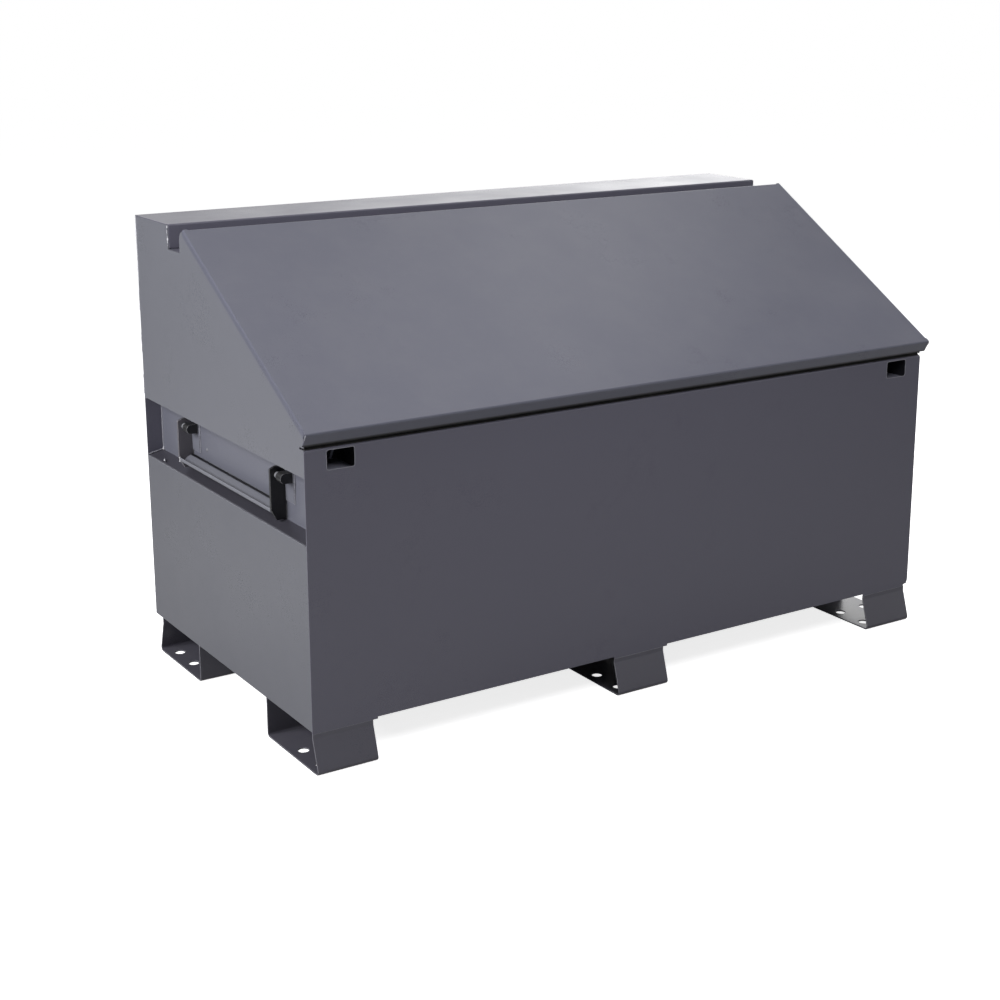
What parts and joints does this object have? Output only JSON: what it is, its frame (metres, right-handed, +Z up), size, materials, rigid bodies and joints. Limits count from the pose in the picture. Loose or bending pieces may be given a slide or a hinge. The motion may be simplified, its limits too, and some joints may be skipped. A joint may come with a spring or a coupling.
{
  "type": "jobsite storage box",
  "caption": "Slope-front steel storage box on open feet, with a hinged lid on gas springs, recessed lift handles and lock pockets.",
  "frame": {"origin": "middle of the whole outline, on the floor under the feet", "axes": "+X along the box, front panel towards -Y, +Z up"},
  "size_m": [1.5356, 0.781, 0.9557],
  "materials": {
    "graphite_coat": "satin",
    "black_paint": "satin",
    "zinc_steel": "satin",
    "black_rubber": "matte",
    "spring_black": "gloss",
    "chrome_rod": "polished"
  },
  "bodies": {
    "body": {"front_panel": "graphite_coat", "rear_panel": "graphite_coat", "floor_pan": "graphite_coat", "left_upper_side": "graphite_coat", "right_upper_side": "graphite_coat", "left_lower_side": "graphite_coat", "right_lower_side": "graphite_coat", "left_handle_channel": "graphite_coat", "right_handle_channel": "graphite_coat", "top_shelf": "graphite_coat", "hinge_trough": "graphite_coat", "hinge_body_leaf": "graphite_coat", "hinge_pin": "zinc_steel", "front_seal": "black_rubber", "left_seal": "black_rubber", "right_seal": "black_rubber", "left_lock_housing": "graphite_coat", "right_lock_housing": "graphite_coat", "front_left_foot": "graphite_coat", "front_middle_foot": "graphite_coat", "front_right_foot": "graphite_coat", "rear_left_foot": "graphite_coat", "rear_middle_foot": "graphite_coat", "rear_right_foot": "graphite_coat", "left_front_bracket": "black_paint", "left_rear_bracket": "black_paint", "right_front_bracket": "black_paint", "right_rear_bracket": "black_paint", "left_front_pin": "zinc_steel", "left_rear_pin": "zinc_steel", "right_front_pin": "zinc_steel", "right_rear_pin": "zinc_steel", "channel_rivets": "zinc_steel", "left_spring_bracket": "zinc_steel", "right_spring_bracket": "zinc_steel"},
    "lid": {"lid_skin": "graphite_coat", "lid_front_channel": "graphite_coat", "left_rib": "graphite_coat", "middle_rib": "graphite_coat", "right_rib": "graphite_coat", "left_lock_tab": "graphite_coat", "right_lock_tab": "graphite_coat", "hinge_lid_leaf": "graphite_coat", "left_lid_bracket": "zinc_steel", "right_lid_bracket": "zinc_steel"},
    "left_handle": {"left_front_arm": "black_paint", "left_rear_arm": "black_paint", "left_grip": "graphite_coat"},
    "right_handle": {"right_front_arm": "black_paint", "right_rear_arm": "black_paint", "right_grip": "graphite_coat"},
    "left_spring_tube": {"left_spring_cylinder": "spring_black"},
    "right_spring_tube": {"right_spring_cylinder": "spring_black"},
    "left_spring_rod_body": {"left_spring_rod": "chrome_rod"},
    "right_spring_rod_body": {"right_spring_rod": "chrome_rod"}
  },
  "joints": [
    {"name": "lid_hinge", "type": "hinge", "parent": "body", "child": "lid", "pos_m": [0, 0.15887, 0.912], "axis": [-1, 0, 0], "range_deg": [0, 110]},
    {"name": "left_handle_pivot", "type": "hinge", "parent": "body", "child": "left_handle", "pos_m": [-0.7442, -0.2191, 0.538], "axis": [0, 1, 0], "range_deg": [0, 120]},
    {"name": "right_handle_pivot", "type": "hinge", "parent": "body", "child": "right_handle", "pos_m": [0.7442, -0.2191, 0.538], "axis": [0, -1, 0], "range_deg": [0, 120]},
    {"name": "left_spring_swing", "type": "hinge", "parent": "body", "child": "left_spring_tube", "pos_m": [-0.728, 0.12417, 0.8465], "axis": [-1, 0, 0], "range_deg": [0, 107.12]},
    {"name": "left_spring_stroke", "type": "slide", "parent": "left_spring_tube", "child": "left_spring_rod_body", "axis": [0, -0.9534, -0.3016], "range_m": [0, 0.12027]},
    {"name": "right_spring_swing", "type": "hinge", "parent": "body", "child": "right_spring_tube", "pos_m": [0.728, 0.12417, 0.8465], "axis": [-1, 0, 0], "range_deg": [0, 107.12]},
    {"name": "right_spring_stroke", "type": "slide", "parent": "right_spring_tube", "child": "right_spring_rod_body", "axis": [0, -0.9534, -0.3016], "range_m": [0, 0.12027]}
  ],
  "couplings": [
    {"joint": "left_spring_swing", "follows": "lid_hinge", "ratio": 0.9738},
    {"joint": "left_spring_stroke", "follows": "lid_hinge", "m_per_rad": 0.062643},
    {"joint": "right_spring_swing", "follows": "lid_hinge", "ratio": 0.9738},
    {"joint": "right_spring_stroke", "follows": "lid_hinge", "m_per_rad": 0.062643}
  ]
}
